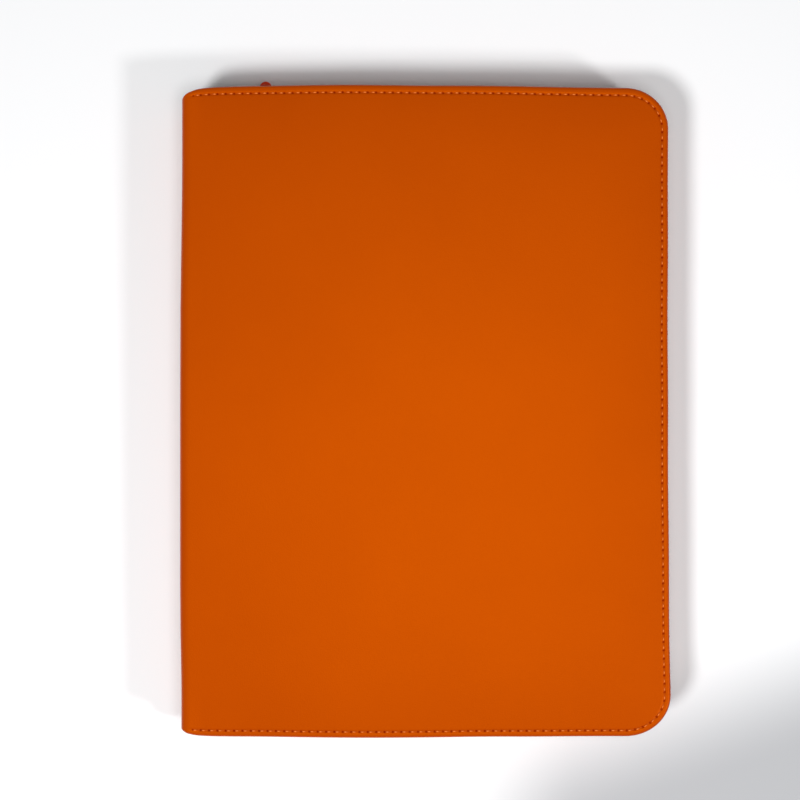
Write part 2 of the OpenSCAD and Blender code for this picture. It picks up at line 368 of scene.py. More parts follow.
def crown_depth(inset):
    """How far the padded face has fallen from its middle's level at an inset."""
    return CROWN_H * max(0.0, 1 - inset / CROWN_REACH) ** 2


def face_depth(st, inset, x):
    """How deep the outer face lies: crowned, grooved at the stitches, and rolled off at the edge."""
    panel = ease(x, FOLD_X - 4, FOLD_X + 8)
    crown = crown_depth(inset)
    groove = 0.26 * math.exp(-(((inset - STITCH_IN) / 0.6) ** 2))
    roll = ROLL_R - math.sqrt(max(0.0, ROLL_R**2 - max(0.0, ROLL_R - inset) ** 2))
    return panel * (crown + groove + 0.3 * hole_mark(st, inset)) + roll


def rim_depth(x):
    """How deep the turned edge reaches: over the panel's layers, less at the fold, over the spine's."""
    panel = ease(x, FOLD_X + 1, FOLD_X + 7)
    spine = ease(-x, -BEND_X, -BEND_X + 3)
    spine_depth = SPINE_LINING_X - SPINE_X
    at_fold = 2.3
    return at_fold + (RIM_Z - at_fold) * panel + (spine_depth - at_fold) * spine


def skin_rows(st):
    """Rows of the skin, from the middle of its outer face over the edge to the inner one's middle."""
    rows, uvs, holes = [], [], []

    def add(inset, depth, unrolled, mark=False):
        x, y = flat(st, inset, bowed=True)
        rows.append(wrap(x, y, depth(x)))
        uvs.append(np.stack(flat(st, unrolled), -1))
        holes.append(hole_mark(st, inset) if mark else np.zeros(len(x)))

    def face(inset):
        return lambda x: face_depth(st, inset, x)

    def rolled(x):
        return ease(x, FOLD_X - 4, FOLD_X + 8) * CROWN_H + ROLL_R

    def wall(share):
        return lambda x: rolled(x) + share * (rim_depth(x) - 0.3 - rolled(x))

    def rim(less):
        return lambda x: rim_depth(x) - less

    def back(inset):
        step = 0.25 if inset < 2 else 0
        return lambda x: SKIN_T + ease(x, FOLD_X, FOLD_X + 8) * crown_depth(inset) + step

    # The fine rows lie close together, because the needle holes and the stitches' groove are in them.
    coarse = [MIDDLE_IN, 120, 80, 55, 40, 32, 26, 22, 18, 15, 12.5, 10.5, 9, 7.6, 6.4, 5.5]
    fine = [4.9, 4.5, 4.2, 3.95, 3.75, 3.57, 3.4, 3.23, 3.05, 2.85, 2.6, 2.3, 2.0, ROLL_R]
    for inset in coarse + fine:
        add(inset, face(inset), inset, mark=True)
    for angle in np.radians([15, 30, 45, 60, 75, 90]):
        inset = ROLL_R * (1 - math.sin(angle))
        add(inset, face(inset), ROLL_R * (1 - angle))
    edge = ROLL_R * (1 - math.pi / 2)
    for share in (0.35, 0.7):
        add(0, wall(share), edge - share * 2)
    for inset, less in ((0.04, 0.3), (0.14, 0.12), (0.32, 0.0), (1.0, 0.0)):
        add(inset, rim(less), edge - 2.2 - inset)
    add(1.0, rim(0.5), edge - 3.6)
    for inset in (1.05, 3.4, 9, 22, 80, MIDDLE_IN):
        add(inset, back(inset), edge - 4 - inset)
    return rows, np.stack(uvs), np.stack(holes)


def skin_stations():
    """Six places for each stitch, so that the needle holes fall on them."""
    before = np.linspace(SEAM_X - STITCH_X, 0, 31)[:-1]
    sewn = np.arange(6 * STITCHES + 1) * PITCH / 6
    return stations(SEAM_X, SEAM_X, np.concatenate([before, sewn, STITCH_LENGTH - before[::-1]]))


# ---- Materials ----


def shader(name, colour, roughness, **sockets):
    """A material, its node tree, and its shader with constants on its own sockets."""
    mat = bpy.data.materials.new(name)
    mat.use_nodes = True
    bsdf = next(n for n in mat.node_tree.nodes if n.type == "BSDF_PRINCIPLED")
    bsdf.inputs["Base Color"].default_value = (*colour, 1)
    bsdf.inputs["Roughness"].default_value = roughness
    for key, value in sockets.items():
        bsdf.inputs[key.replace("_", " ")].default_value = value
    mat.diffuse_color = (*colour, 1)
    return mat, mat.node_tree, bsdf


def node(tree, kind, **inputs):
    """A node with some inputs set or linked."""
    made = tree.nodes.new(kind)
    for key, value in inputs.items():
        socket = made.inputs[key.replace("_", " ")]
        if isinstance(value, bpy.types.NodeSocket):
            tree.links.new(value, socket)
        else:
            socket.default_value = value
    return made


def uv_of(tree):
    """The piece's own unrolled length and width, in metres."""
    return tree.nodes.new("ShaderNodeUVMap").outputs["UV"]


def object_place(tree):
    """The point's place on its piece, in metres."""
    return tree.nodes.new("ShaderNodeTexCoord").outputs["Object"]


def bump(tree, bsdf, height, distance, strength):
    """A fine relief on the shader's normal, its distance in metres."""
    made = node(tree, "ShaderNodeBump", Height=height, Distance=distance, Strength=strength)
    tree.links.new(made.outputs["Normal"], bsdf.inputs["Normal"])


def mixed(tree, factor, one, two):
    """A colour between two colours."""
    mix = tree.nodes.new("ShaderNodeMix")
    mix.data_type = "RGBA"
    for index, value in ((0, factor), (6, one), (7, two)):
        if isinstance(value, bpy.types.NodeSocket):
            tree.links.new(value, mix.inputs[index])
        else:
            mix.inputs[index].default_value = value
    return mix.outputs[2]


def ranged(tree, value, low, high, to_low, to_high, smooth=False):
    """A value moved from one range to another, and held inside it."""
    made = node(tree, "ShaderNodeMapRange", Value=value, From_Min=low, From_Max=high)
    made.inputs["To Min"].default_value = to_low
    made.inputs["To Max"].default_value = to_high
    if smooth:
        made.interpolation_type = "SMOOTHSTEP"
    return made.outputs["Result"]


def noise(tree, vector, scale, detail):
    """Soft noise at a scale, in waves a metre."""
    return node(tree, "ShaderNodeTexNoise", Vector=vector, Scale=scale, Detail=detail).outputs["Fac"]


def mathed(tree, operation, a, b):
    """A sum, difference or product of two values."""
    made = tree.nodes.new("ShaderNodeMath")
    made.operation = operation
    for index, value in ((0, a), (1, b)):
        if isinstance(value, bpy.types.NodeSocket):
            tree.links.new(value, made.inputs[index])
        else:
            made.inputs[index].default_value = value
    return made.outputs[0]


# Linear colours, and how much darker a plain finish is in its dark spots.
MOTTLE = 0.12
ORANGE = (0.405, 0.051, 0.0003)
ORANGE_DEEP = (0.385, 0.047, 0.0003)
# The needle holes' dark red is painted shade.
HOLE_SHADE = (0.2, 0.006, 0.0)
THREAD = (0.42, 0.055, 0.002)
# The threads' crest colour is a painted highlight.
THREAD_HIGHLIGHT = (0.90, 0.25, 0.05)


def leather():
    """Fine-grained orange synthetic leather, with painted shade in its needle holes."""
    mat, tree, bsdf = shader("leather", ORANGE, 0.42, Specular_IOR_Level=1.0)
    bsdf.inputs["Specular Tint"].default_value = (1.0, 0.2, 0.0, 1)
    place = uv_of(tree)
    mottle = ranged(tree, noise(tree, place, 14, 4), 0.3, 0.7, 0, 1)
    colour = mixed(tree, mottle, (*ORANGE, 1), (*ORANGE_DEEP, 1))
    hole = node(tree, "ShaderNodeAttribute")
    hole.attribute_name = "hole"
    # Painted shade: the leather is coloured dark red round each needle hole.
    hole_shade = ranged(tree, hole.outputs["Fac"], 0.15, 0.6, 0, 0.97)
    colour = mixed(tree, hole_shade, colour, (*HOLE_SHADE, 1))
    tree.links.new(colour, bsdf.inputs["Base Color"])
    cells = tree.nodes.new("ShaderNodeTexVoronoi")
    tree.links.new(place, cells.inputs["Vector"])
    cells.inputs["Scale"].default_value = 1300
    height = mathed(tree, "ADD", cells.outputs["Distance"], noise(tree, place, 4200, 2))
    bump(tree, bsdf, height, 0.00006, 0.5)
    return mat


def thread():
    """Twisted polyester sewing thread, with a painted highlight on the crest of each stitch."""
    mat, tree, bsdf = shader("thread", THREAD, 0.45, Specular_IOR_Level=0.5)
    bsdf.inputs["Specular Tint"].default_value = (1.0, 0.5, 0.2, 1)
    place = object_place(tree)
    crest = node(tree, "ShaderNodeAttribute")
    crest.attribute_name = "crest"
    # Painted highlight: the crest of each stitch is coloured brighter, in noisy patches.
    highlight_patches = ranged(tree, noise(tree, place, 700, 2), 0.2, 0.6, 0.6, 1)
    share = mathed(tree, "MULTIPLY", crest.outputs["Fac"], highlight_patches)
    colour = mixed(tree, share, (*THREAD, 1), (*THREAD_HIGHLIGHT, 1))
    tree.links.new(colour, bsdf.inputs["Base Color"])
    bump(tree, bsdf, noise(tree, place, 4000, 1), 0.0001, 0.5)
    return mat


def cloth(name, colour, dark, scale, depth):
    """Cloth with a plain weave, drawn along its own unrolled length and width."""
    mat, tree, bsdf = shader(name, colour, 0.85, Sheen_Weight=0.3)
    place = uv_of(tree)
    waves = []
    for direction in ("X", "Y"):
        wave = tree.nodes.new("ShaderNodeTexWave")
        wave.bands_direction = direction
        tree.links.new(place, wave.inputs["Vector"])
        wave.inputs["Scale"].default_value = scale
        wave.inputs["Distortion"].default_value = 0.6
        waves.append(wave.outputs["Fac"])
    height = mathed(tree, "MULTIPLY", waves[0], waves[1])
    colour_out = mixed(tree, height, (*dark, 1), (*colour, 1))
    tree.links.new(colour_out, bsdf.inputs["Base Color"])
    bump(tree, bsdf, height, depth, 0.8)
    return mat


def plain(name, colour, roughness, grain=900, depth=0.00003, **sockets):
    """A plain finish with a slight mottle and a fine grain."""
    mat, tree, bsdf = shader(name, colour, roughness, **sockets)
    place = object_place(tree)
    dark = tuple(c * (1 - MOTTLE) for c in colour)
    mottled = mixed(tree, noise(tree, place, 60, 3), (*dark, 1), (*colour, 1))
    tree.links.new(mottled, bsdf.inputs["Base Color"])
    bump(tree, bsdf, noise(tree, place, grain, 3), depth, 0.6)
    return mat


def film():
    """Clear glossy pocket film, frosted along its welds."""
    mat, tree, bsdf = shader("pocket_film", (0.93, 0.94, 0.95), 0.08, IOR=1.45, Transmission_Weight=1.0)
    weld = node(tree, "ShaderNodeAttribute")
    weld.attribute_name = "weld"
    tree.links.new(ranged(tree, weld.outputs["Fac"], 0, 1, 0.06, 0.5), bsdf.inputs["Roughness"])
    bump(tree, bsdf, noise(tree, object_place(tree), 45, 2), 0.0006, 0.25)
    return mat


MAT_SKIN = leather()
MAT_THREAD = thread()
MAT_LINING = cloth("lining_cloth", (0.022, 0.022, 0.025), (0.008, 0.008, 0.009), 420, 0.0001)
MAT_TAPE = cloth("zip_tape_weave", (0.50, 0.075, 0.004), (0.30, 0.036, 0.002), 500, 0.00016)
MAT_TEETH = plain("zip_coil", (0.46, 0.055, 0.004), 0.32, depth=0.00001)
MAT_ENAMEL = plain(
    "red_orange_enamel", (0.68, 0.04, 0.003), 0.34, grain=300, depth=0.000004, Specular_IOR_Level=0.2
)
MAT_TAB = plain("tab_leather", ORANGE, 0.5, grain=1300, depth=0.00006)
MAT_FOAM = plain("foam", (0.75, 0.72, 0.62), 0.95, grain=1500, depth=0.0003)
MAT_BOARD = plain("grey_board", (0.34, 0.29, 0.22), 0.9, grain=700, depth=0.0001)
MAT_SHEET = plain("black_sheet", (0.014, 0.014, 0.015), 0.42, grain=1600, depth=0.00004)
MAT_BINDING = plain("binding_strip", (0.03, 0.03, 0.032), 0.5)
MAT_FILM = film()


# ---- Covers ----


def bend_over_fold(obj, upper):
    """The piece's transform is baked into its points, the same for either cover."""
    if upper:
        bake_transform(obj)
    else:
        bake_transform(obj)


def build_skin(cover, upper):
    """Leather of a cover and half of the spine, in one piece with turned-in edges."""
    rows, uv, holes = skin_rows(skin_stations())
    if upper:
        rows = [mirrored(r) for r in rows]
    obj = folded_cover(cover + "_cover_skin", rows, uv, {"hole": holes}, MAT_SKIN)
    bend_over_fold(obj, upper)
    if upper:
        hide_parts("front_skin", "spine_skin")
    else:
        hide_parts("back_skin")


def build_foam(cover, upper):
    """Foam pad between skin and board, thinner towards its rounded edges."""
    left = BOARD_END_X - 0.6
    st = stations(left, left, step=4)
    rows = []
    top = FOAM_TOP_Z - 0.02
    for inset in (MIDDLE_IN, 80, 22, 12, 6, 3, 1.6):
        x, y = flat(st, inset)
        rows.append(np.stack([x, y, np.full(len(x), FOAM_Z + 0.03 + crown_depth(inset))], -1))
    under = [(1.3, 2.0), (1.15, 2.3), (1.2, 2.7)]
    under += [(inset, top) for inset in (1.6, 22, 80, MIDDLE_IN)]
    for inset, z in under:
        x, y = flat(st, inset)
        rows.append(np.stack([x, y, np.full(len(x), z)], -1))
    if upper:
        rows = [mirrored(r) for r in rows]
    obj = folded_cover(cover + "_foam_pad", rows, mat=MAT_FOAM)
    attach(obj, cover + "_cover")
    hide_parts(cover + "_foam")


def stitch_shape(length, radius, rise):
    """One stitch: a thread that comes steeply up out of a hole and sinks slowly into the next."""
    t = np.linspace(-1, 1, 13)
    crest = -0.4
    climb = np.clip((crest - t) / (1 + crest), 0, 1) ** 3
    sink = ease(t, crest, 1)
    path = np.stack([t * length / 2, 0 * t, rise - 0.9 * climb - 0.53 * sink], -1)
    thin = radius * np.clip(1.02 - np.abs(t) ** 7, 0.12, 1)
    return tube(path, thin, 8)


def build_stitches(cover, upper, inner):
    """The row of stitches on the skin (inner False) or on the lining's sewn edge (inner True)."""
    st = stations(STITCH_X, STITCH_X, (np.arange(STITCHES) + 0.5) * PITCH)
    x, y = flat(st, STITCH_IN, bowed=not inner)
    depth = RIM_Z + 0.05 if inner else np.maximum(face_depth(st, STITCH_IN, x), 0.45)
    place = np.stack([x, y, np.broadcast_to(depth, x.shape)], -1)
    along = np.stack([-st["ny"], st["nx"], 0 * x], -1)
    out = np.stack([st["nx"], st["ny"], 0 * x], -1)
    up = np.zeros((len(x), 3))
    up[:, 2] = 1 if inner else -1
    if upper:
        place = mirrored(place)
        up = -up
    shape, faces = stitch_shape(PITCH * STITCH_SHARE, THREAD_R, STITCH_RISE)
    # The crest mark places the thread's painted highlight just past each hole.
    crest = np.exp(-(((shape[:, 0] + STITCH_CREST * PITCH) / 0.62) ** 2))
    name = cover + ("_inner_stitches" if inner else "_stitches")
    obj = repeated(name, shape, faces, (place, along, out, up), MAT_THREAD, {"crest": crest})
    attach(obj, cover + "_cover")


def spline(points, step):
    """A smooth line through the points, with even steps, and its length."""
    p = np.asarray(points, float)
    p = np.concatenate([[2 * p[0] - p[1]], p, [2 * p[-1] - p[-2]]])
    t = np.linspace(0, 1, 25)[:-1, None]
    parts = []
    for a, b, c, d in zip(p[:-3], p[1:-2], p[2:-1], p[3:]):
        square = (2 * a - 5 * b + 4 * c - d) * t**2
        cube = (3 * b - a - 3 * c + d) * t**3
        parts.append(0.5 * (2 * b + (c - a) * t + square + cube))
    line = np.concatenate(parts + [p[-2:-1]])
    lengths = np.concatenate([[0], np.cumsum(np.linalg.norm(np.diff(line, axis=0), axis=1))])
    even = np.linspace(0, lengths[-1], max(2, round(lengths[-1] / step)))
    smooth = [np.interp(even, lengths, line[:, k]) for k in range(line.shape[1])]
    return np.stack(smooth, -1), lengths[-1]


def gutter_line():
    """The lining's middle line beside the spine: off the board's end, down to the skin, up the spine."""
    panel_z = LINING_TOP_Z - LINING_T / 2
    spine_mid = SPINE_LINING_X - LINING_T / 2
    inner = SKIN_T + LINING_T / 2 + 0.2
    return spline(
        [
            (BOARD_END_X + 1.0, panel_z),
            (BOARD_END_X - 0.2, panel_z - 0.25),
            (BOARD_END_X - 1.1, panel_z - 1.4),
            (BOARD_END_X - 2.0, panel_z - 2.7),
            (FOLD_X + 0.6, inner + 0.25),
            (FOLD_X - 1.0, inner + 0.15),
            (FOLD_X - 2.4, inner + 1.0),
            (SPINE_X + inner + 0.3, FOLD_R - 0.9),
            (spine_mid - 0.15, FOLD_R + 0.6),
            (spine_mid, FOLD_R + 2.0),
            (spine_mid, MID_Z),
        ],
        0.25,
    )


def build_lining(cover, upper):
    """Cloth lining of a cover, its gutter and half of the spine, in one piece.

    It drops over the board's edge to the skin's rim, where it is sewn.
    """
    line, length = gutter_line()
    start_x = line[0, 0]
    places = np.linspace(0, length, len(line))
    slope = np.gradient(line, axis=0)
    slope /= np.linalg.norm(slope, axis=1)[:, None]
    normal = np.stack([slope[:, 1], -slope[:, 0]], -1)
    left = start_x - length
    near = np.linspace(left - STITCH_X, start_x - STITCH_X, 56)[:-1]
    sewn = np.linspace(start_x - STITCH_X, STITCH_LENGTH + STITCH_X - start_x, 560)
    st = stations(left, left, np.concatenate([near, sewn, STITCH_LENGTH - near[::-1]]))
    step_at = BOARD_IN - LINING_T
    rows, uvs = [], []

    def add(inset, offset):
        x, y = flat(st, inset)
        drop = (LINING_TOP_Z - RIM_Z) * (1 - ease(inset, step_at - 0.2, step_at + 0.9))
        drop = drop * ease(x, BOARD_END_X - 0.5, BOARD_END_X + 2.5)
        drop = drop + 0.12 * math.exp(-(((inset - STITCH_IN) / 0.5) ** 2))
        gone = np.clip(start_x - x, 0, length)
        px = np.where(x > start_x, x, np.interp(gone, places, line[:, 0]))
        pz = np.interp(gone, places, line[:, 1])
        nx = np.interp(gone, places, -normal[:, 0])
        nz = np.interp(gone, places, -normal[:, 1])
        px = px + np.where(x > start_x, 0, nx) * offset
        pz = pz + np.where(x > start_x, 1, nz) * offset - drop
        rows.append(np.stack([px, y, pz], -1))
        uvs.append(np.stack([x, y], -1))

    edge = TAPE_IN + TAPE_T + 0.03
    top = [MIDDLE_IN, 110, 60, 30, 18, 12, 9.5, 8.6] + [step_at + 0.9 - 0.2 * i for i in range(7)]
    top += [step_at - 0.55, 3.8, 3.6, 3.4, 3.2, 2.9, 2.4, edge + 0.25]
    for inset in top:
        add(inset, LINING_T / 2 if inset > edge + 0.3 else LINING_T * 0.45)
    add(edge, 0.12)
    add(edge, -0.12)
    under = [edge + 0.25, step_at - 0.6, step_at, step_at + 0.4, step_at + 0.8, 12, 30, 110, MIDDLE_IN]
    for inset in under:
        add(inset, -LINING_T / 2)
    if upper:
        rows = [mirrored(r) for r in rows]
    obj = folded_cover(cover + "_cover_lining", rows, np.stack(uvs), mat=MAT_LINING)
    bend_over_fold(obj, upper)
    if upper:
        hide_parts("front_lining", "spine_lining")
    else:
        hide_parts("back_lining")


# ---- Zip ----


def build_tape(cover, upper):
    """The upright woven tape, slightly bellied, with its foot under the lining."""
    st = stations(SPINE_X + TAIL_START, SPINE_X + HEAD_START, step=2.0)
    top = CHAIN_Z + 1.1
    rows, uvs = [], []
    outer = [(TAPE_Z + 0.3, 0), (RIM_Z, 0.02), (5.5, 0.1), (7.5, 0.22), (9.5, 0.3)]
    outer += [(11.5, 0.26), (13.2, 0.14), (14.4, 0.03), (top - 0.2, 0)]
    soft = 1 + 0.5 * np.sin(st["s"] / 8.0) * np.sin(st["s"] / 23.0)
    loop = [(z, belly, 0.0) for z, belly in outer] + [(top, 0, TAPE_T / 2)]
    loop += [(z, belly, TAPE_T) for z, belly in outer[::-1]]
    for z, belly, inward in loop:
        x, y = flat(st, TAPE_IN + inward)
        x = x + st["nx"] * belly * soft
        y = y + st["ny"] * belly * soft
        rows.append(np.stack([x, y, np.full(len(x), z)], -1))
        uvs.append(np.stack([st["s"], np.full(len(x), z + 40 * inward)], -1))
    grid = np.stack(rows)
    if upper:
        grid = mirrored(grid)
    obj = swept(cover + "_zip_tape_weave", grid, np.stack(uvs), MAT_TAPE)
    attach(obj, cover + "_cover")
    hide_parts(cover + "_zip_tape")


def coil_shape():
    """One turn of the nylon coil: up its outer leg, over the head that meshes, down and on."""
    reach = 0.62
    base = 0.15
    head = MID_Z - CHAIN_Z + 0.02
    path = [
        (-0.30, 0.45, base - 0.15),
        (-0.06, reach, base + 0.25),
        (0.0, reach, 1.2),
        (0.0, reach * 0.95, head - 0.62),
        (0.0, reach * 0.5, head - 0.36),
        (0.02, -reach * 0.5, head - 0.36),
        (0.04, -reach * 0.95, head - 0.62),
        (0.06, -reach, 1.2),
        (0.12, -reach, base + 0.25),
        (0.45, -0.45, base - 0.15),
        (0.9, 0.2, base - 0.2),
        (COIL_PITCH - 0.30, 0.45, base - 0.15),
    ]
    radius = [0.30, 0.31, 0.32, 0.36, 0.38, 0.38, 0.36, 0.32, 0.31, 0.30, 0.30, 0.30]
    return tube(path, radius, 7)


def build_teeth(cover, upper):
    """One half of the zip's coil, half a turn out of step with the other, and its two end stops."""
    first = SPINE_X + TAIL_START + STOP_L + STOP_GAP
    last = SPINE_X + HEAD_START + STOP_L + STOP_GAP
    low, high = first - STITCH_X, STITCH_LENGTH + STITCH_X - last
    count = int((high - low) / COIL_PITCH)
    places = low + (np.arange(count) + (0.5 if upper else 0.0)) * COIL_PITCH
    st = stations(first, last, places)
    x, y = flat(st, TAPE_IN + TAPE_T / 2)
    place = np.stack([x, y, np.full(len(x), CHAIN_Z)], -1)
    along = np.stack([-st["ny"], st["nx"], 0 * x], -1)
    out = np.stack([st["nx"], st["ny"], 0 * x], -1)
    up = np.tile([0.0, 0.0, 1.0], (len(x), 1))
    if upper:
        place = mirrored(place)
        up = -up
    shape, faces = coil_shape()
    obj = repeated(cover + "_zip_coil", shape, faces, (place, along, out, up), MAT_TEETH)
    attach(obj, cover + "_cover")
    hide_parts(cover + "_zip_teeth")
    for name, x0, sign in (("head", SPINE_X + HEAD_START, 1), ("tail", SPINE_X + TAIL_START, -1)):
        mid = HALF_H - TAPE_IN - TAPE_T / 2 - 0.12
        low_corner = [x0, sign * mid - STOP_HALF, CHAIN_Z - 0.1]
        high_corner = [x0 + STOP_L, sign * mid + STOP_HALF, MID_Z - 0.5]
        if upper:
            low_corner[2], high_corner[2] = CASE_T - high_corner[2], CASE_T - low_corner[2]
        stop = rounded_box(f"{cover}_{name}_stop", low_corner, high_corner, 0.5, MAT_ENAMEL)
        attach(stop, cover + "_cover")


def rounded_box(name, low, high, radius, mat):
    """A box with rounded edges, from two corners in millimetres."""
    work = bmesh.new()
    bmesh.ops.create_cube(work, size=1)
    low, high = np.array(low, float), np.array(high, float)
    for v in work.verts:
        v.co = [(low[k] + high[k]) / 2 * MM + v.co[k] * (high[k] - low[k]) * MM for k in range(3)]
    edges = work.edges[:]
    bmesh.ops.bevel(work, geom=edges, offset=radius * MM, segments=4, profile=0.5, affect="EDGES")
    for face in work.faces:
        face.smooth = True
    mesh = bpy.data.meshes.new(name)
    work.to_mesh(mesh)
    work.free()
    mesh.materials.append(mat)
    obj = bpy.data.objects.new(name, mesh)
    bpy.context.scene.collection.objects.link(obj)
    return obj


# ---- Slider and pull ----

# The pull tab turns round PIVOT, and its slot clears the crown's dome by PULL_GAP.
SLIDER_X = (side("slider_crown", 0, 0) + side("slider_crown", 1, 0)) / 2
PIVOT = hinge("pull_swing")
PULL_GAP = 0.45
PULL_POINTS = 96


def build_crown():
    """The crown: a softly rounded dome on the slider's face, with an eye for the pull tab's bar."""
    (x0, y0, z0), (x1, y1, z1) = (np.array(v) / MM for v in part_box("slider_crown"))
    outer = (x1 - x0) / 2
    half_w = (z1 - z0) / 2
    foot = y0 - 0.15
    eye = 1.3
    angle = np.linspace(0, math.pi, 31)
    arch_out = np.stack([outer * np.cos(angle), y1 - outer + outer * np.sin(angle)], -1)
    arch_in = np.stack([eye * np.cos(angle), PIVOT[1] + eye * np.sin(angle)], -1)
    outside = np.concatenate([[(outer, foot)], arch_out, [(-outer, foot)]])
    inside = np.concatenate([[(eye, foot)], arch_in, [(-eye, foot)]])
    middle, half = (outside + inside) / 2, (outside - inside) / 2
    rows = []
    for a in np.linspace(0, 2 * math.pi, 25)[:-1]:
        xy = middle + half * squared(math.cos(a))
        z = MID_Z + squared(math.sin(a)) * half_w
        rows.append(np.stack([SLIDER_X + xy[:, 0], xy[:, 1], np.full(len(xy), z)], -1))
    obj = swept("crown_dome", np.stack(rows), mat=MAT_ENAMEL)
    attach(obj, "slider")
    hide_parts("slider_crown")


def squared(v):
    """A circle's sine or cosine, pushed out towards a rounded square."""
    return math.copysign(abs(v) ** 0.7, v)


def rounded_loop(x0, x1, half_w, r, centre, count):
    """A rectangle with rounded corners, resampled at even angles round a centre."""
    top, bottom = half_w - r, r - half_w
    corners = [(x1 - r, top, 0), (x0 + r, top, 90), (x0 + r, bottom, 180), (x1 - r, bottom, 270)]
    dense = []
    for cx, cy, first in corners:
        for a in np.radians(np.linspace(first, first + 90, 40)):
            dense.append((cx + r * math.cos(a), cy + r * math.sin(a)))
    dense = np.array(dense)
    loop = np.concatenate([dense, dense[:1]])
    fine = np.concatenate([np.linspace(p, q, 30)[:-1] for p, q in zip(loop[:-1], loop[1:])])
    rel = fine - np.array(centre)
    angle = np.unwrap(np.arctan2(rel[:, 1], rel[:, 0])) % (2 * math.pi)
    order = np.argsort(angle)
    reach = np.linalg.norm(rel, axis=1)
    wanted = np.arange(count) * 2 * math.pi / count
    radius = np.interp(wanted, angle[order], reach[order], period=2 * math.pi)
    return np.stack([centre[0] + radius * np.cos(wanted), centre[1] + radius * np.sin(wanted)], -1)


def build_pull():
    """The pull tab: a flat grip with a slot at the crown, softened edges and a shallow dished face.

    Each row of its section is a share of the way from the outline to the slot, and a level in
    half thicknesses.
    """
    low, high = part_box("pull_tab")
    length = PIVOT[0] - low[0] / MM
    half_w = (high[2] - low[2]) / 2 / MM
    half_t = (high[1] - low[1]) / 2 / MM
    slot_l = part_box("slider_crown")[1][1] / MM - PIVOT[1] + PULL_GAP
    centre = (-slot_l * 0.55, 0)
    outer = rounded_loop(-length, half_t, half_w, half_w - 0.3, centre, PULL_POINTS)
    hole = rounded_loop(-slot_l, -half_t, half_w - 1.5, 0.9, centre, PULL_POINTS)
    near = [(0.0, 0.45), (0.03, 0.8), (0.08, 1.0), (0.22, 1.0), (0.3, 0.82)]
    near += [(0.62, 0.82), (0.75, 1.0), (0.9, 1.0), (0.97, 0.75), (1.0, 0.4)]
    section = [(0.0, -0.45)] + near + [(share, -level) for share, level in near[:0:-1]]
    rows = []
    for share, level in section:
        ring = outer + (hole - outer) * share
        y = np.full(PULL_POINTS, PIVOT[1] + level * half_t)
        rows.append(np.stack([PIVOT[0] + ring[:, 0], y, MID_Z + ring[:, 1]], -1))
    obj = swept("pull_grip", np.stack(rows), mat=MAT_ENAMEL, ring=True)
    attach(obj, "puller")
    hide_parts("pull_tab")


# ---- Leaves ----


def slab(name, top, bottom, mat, marks=None):
    """A closed thin solid between two grids of points."""
    rows, cols = top.shape[:2]
    upper = grid_faces(rows, cols)
    lower = upper[:, ::-1] + rows * cols
    index = np.arange(rows * cols).reshape(rows, cols)
    rim = np.concatenate([index[0, :-1], index[:-1, -1], index[-1, :0:-1], index[:0:-1, 0]])
    after = np.roll(rim, -1)
    walls = np.stack([rim, rim + rows * cols, after + rows * cols, after], -1)
    points = np.concatenate([top.reshape(-1, 3), bottom.reshape(-1, 3)])
    both = {k: np.concatenate([v.ravel(), v.ravel()]) for k, v in (marks or {}).items()}
    quads = np.concatenate([upper, lower])
    return make(name, points, quads, walls.tolist(), None, both, mat)


def build_sheet(k, number):
    """A leaf's dark core, narrower along its margin between the binding bar and the leaf."""
    body = f"page_{number}"
    low, high = (np.array(v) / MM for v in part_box(body + "_sheet"))
    fold = hinge(body + "_turn")
    mid, half_t = (low[2] + high[2]) / 2, (high[2] - low[2]) / 2
    bar_x = fold[0] - 0.4
    corner = 4.0
    narrower = 2.2
    straight = high[0] - corner
    x = np.concatenate([
        [bar_x - 0.6],
        np.linspace(bar_x, low[0], 9),
        [low[0] + 0.6, low[0] + 2],
        np.linspace(low[0] + 12, straight, 9),
        straight + corner * np.sin(np.radians([15, 30, 45, 60, 75, 90])),
    ])
    arc = np.sqrt(np.maximum(corner**2 - (x - high[0] + corner) ** 2, 0))
    half = np.where(x > straight, high[1] - corner + arc, high[1])
    margin = narrower * (1 - ease(x, bar_x, low[0] + 2))
    half = np.where(x <= bar_x, half - narrower, half - margin)
    share = np.array([-1, -0.98, -0.9, -0.5, 0, 0.5, 0.9, 0.98, 1.0])
    y = half[:, None] * share[None]
    xx = np.broadcast_to(x[:, None], y.shape)
    seed = 0.37 * k
    sag = 0.015 * np.sin(xx / 37 + seed) * np.sin(y / 53 + 2 * seed) * ease(xx, low[0], low[0] + 20)
    top = np.stack([xx, y, mid + half_t + sag], -1)
    bottom = np.stack([xx, y, mid - half_t + sag], -1)
    obj = slab(f"{body}_core", top, bottom, MAT_SHEET)
    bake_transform(obj)
    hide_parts(body + "_sheet")


